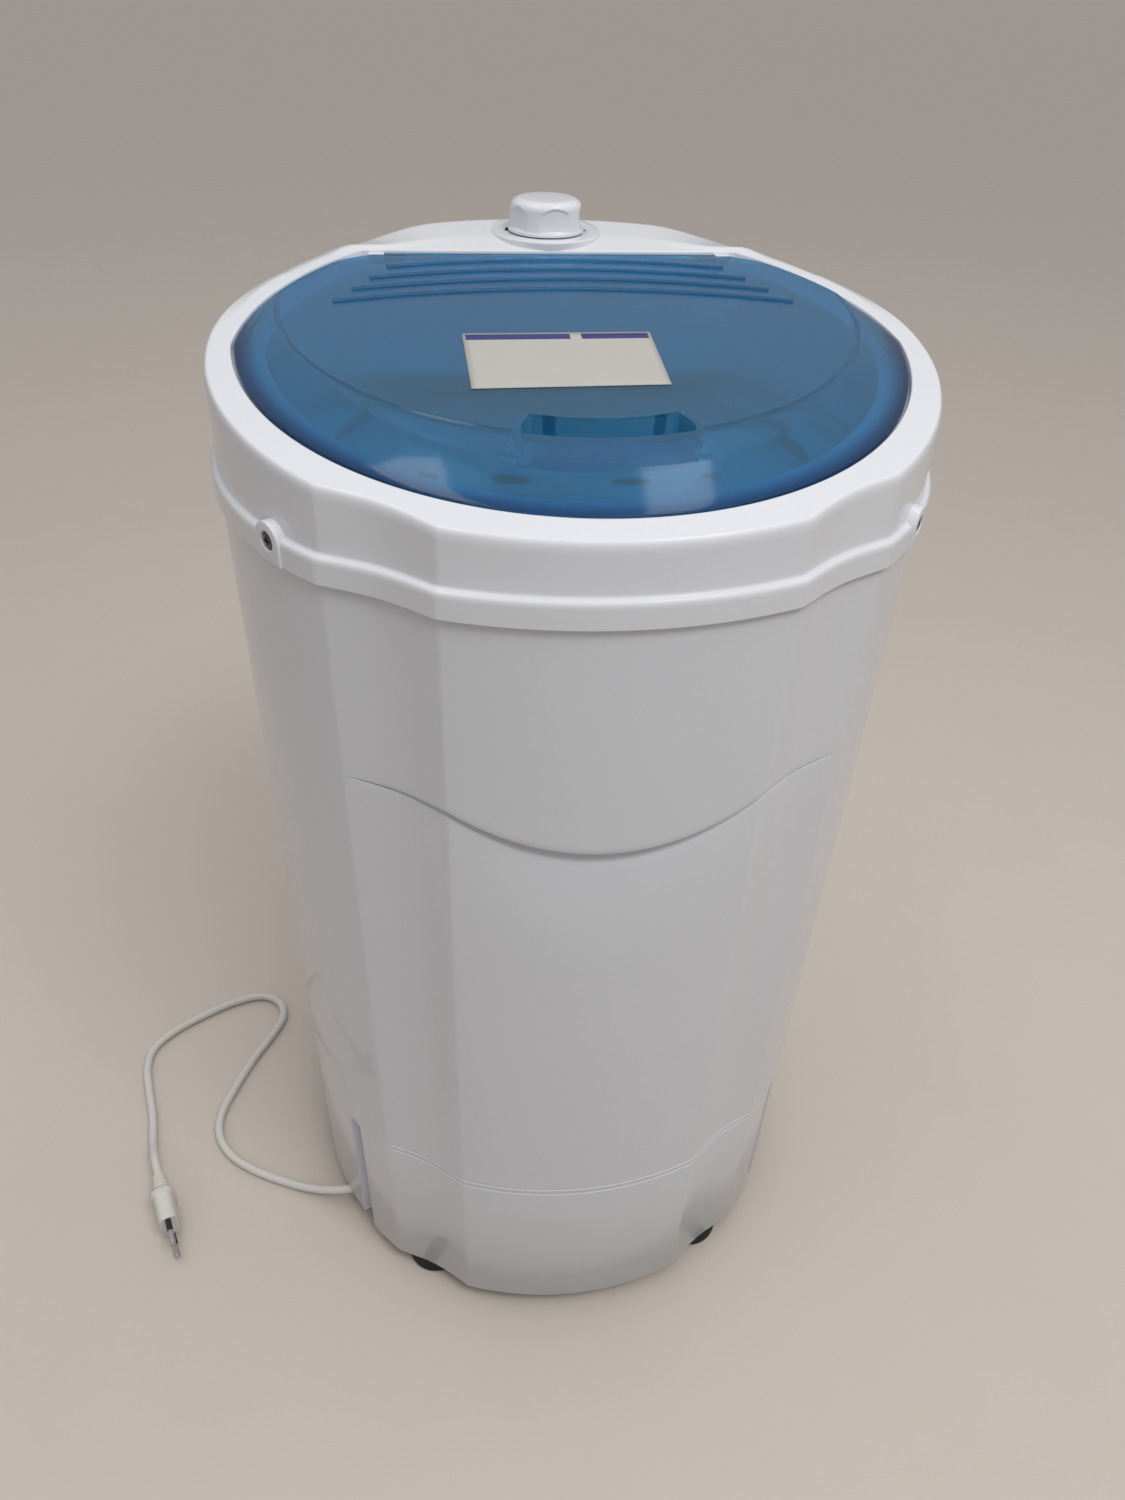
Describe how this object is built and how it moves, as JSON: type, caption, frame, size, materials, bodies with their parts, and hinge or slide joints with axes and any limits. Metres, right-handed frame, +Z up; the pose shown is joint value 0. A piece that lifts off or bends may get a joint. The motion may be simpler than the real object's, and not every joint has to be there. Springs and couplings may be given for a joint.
{
  "type": "portable mini washer",
  "caption": "Round portable mini washer with a sloping top, hinged translucent lid, timer knob, spinning basket inside, rubber feet and a mains lead.",
  "frame": {"origin": "on the floor under the axis of the basket", "axes": "+Z up along the basket's axis, -Y to the front, +X to the right as seen from the front"},
  "size_m": [0.4988, 0.342, 0.6361],
  "materials": {
    "white_plastic": "gloss",
    "blue_plastic": "gloss",
    "rubber": "matte",
    "dark_steel": "satin",
    "steel": "satin",
    "grey_plastic": "matte",
    "copper": "satin",
    "bronze": "satin",
    "black_plastic": "matte",
    "cord_white": "satin"
  },
  "bodies": {
    "body": {"casing": "white_plastic", "top_cover": "white_plastic", "base_plate": "grey_plastic", "foot_front_left": "rubber", "foot_front_right": "rubber", "foot_rear_left": "rubber", "foot_rear_right": "rubber", "cover_screw_front_left": "dark_steel", "cover_screw_front_right": "dark_steel", "cover_screw_rear_left": "dark_steel", "cover_screw_rear_right": "dark_steel", "outer_tub": "white_plastic", "splash_ring": "white_plastic", "drain_hose": "grey_plastic", "drain_spout": "grey_plastic", "drain_panel": "white_plastic", "hinge_pin_left": "steel", "hinge_pin_right": "steel", "lid_switch": "black_plastic", "timer_body": "grey_plastic", "brake_bracket": "steel", "brake_pivot": "steel", "brake_spring": "steel", "brake_cable": "black_plastic", "shaft_seal": "rubber", "seal_bush": "bronze", "seal_clamp": "steel", "motor_lower_shell": "dark_steel", "motor_upper_shell": "dark_steel", "motor_stator": "copper", "motor_bearing_lower": "steel", "motor_bearing_upper": "steel", "motor_mount": "dark_steel", "suspension_spring_1": "steel", "suspension_spring_2": "steel", "suspension_spring_3": "steel", "capacitor": "white_plastic", "capacitor_clamp": "steel", "cord_gland": "cord_white", "power_cord": "cord_white", "plug_body": "cord_white", "plug_pin_lower": "steel", "plug_pin_upper": "steel"},
    "lid": {"lid": "blue_plastic"},
    "switch": {"lid_switch_plunger": "white_plastic"},
    "knob": {"timer_knob": "white_plastic", "timer_shaft": "steel"},
    "spin": {"spin_basket": "white_plastic", "basket_shaft": "steel", "basket_nut": "steel", "brake_drum": "dark_steel", "motor_shaft": "steel", "motor_rotor": "steel"},
    "disc": {"press_disc": "white_plastic"},
    "brake": {"brake_lever": "steel", "brake_shoe": "bronze"}
  },
  "joints": [
    {"name": "lid_hinge", "type": "hinge", "parent": "body", "child": "lid", "pos_m": [0, 0.1013, 0.61104], "axis": [-1, 0, 0], "range_deg": [0, 98]},
    {"name": "switch_push", "type": "slide", "parent": "body", "child": "switch", "axis": [0, 0, 1], "range_m": [0, 0.003]},
    {"name": "knob_turn", "type": "hinge", "parent": "body", "child": "knob", "pos_m": [0, 0.1365, 0.62], "axis": [0, 0, -1], "range_deg": [0, 300]},
    {"name": "basket_spin", "type": "hinge", "parent": "body", "child": "spin", "pos_m": [0, 0, 0.2], "axis": [0, 0, 1], "continuous": true},
    {"name": "disc_slide", "type": "slide", "parent": "spin", "child": "disc", "axis": [0, 0, -1], "range_m": [0, 0.25]},
    {"name": "brake_swing", "type": "hinge", "parent": "body", "child": "brake", "pos_m": [0.046, 0.036, 0.17], "axis": [0, 0, -1], "range_deg": [0, 2]}
  ],
  "couplings": [
    {"joint": "switch_push", "follows": "lid_hinge", "m_per_rad": 0.001748},
    {"joint": "brake_swing", "follows": "lid_hinge", "ratio": 0.020306}
  ]
}
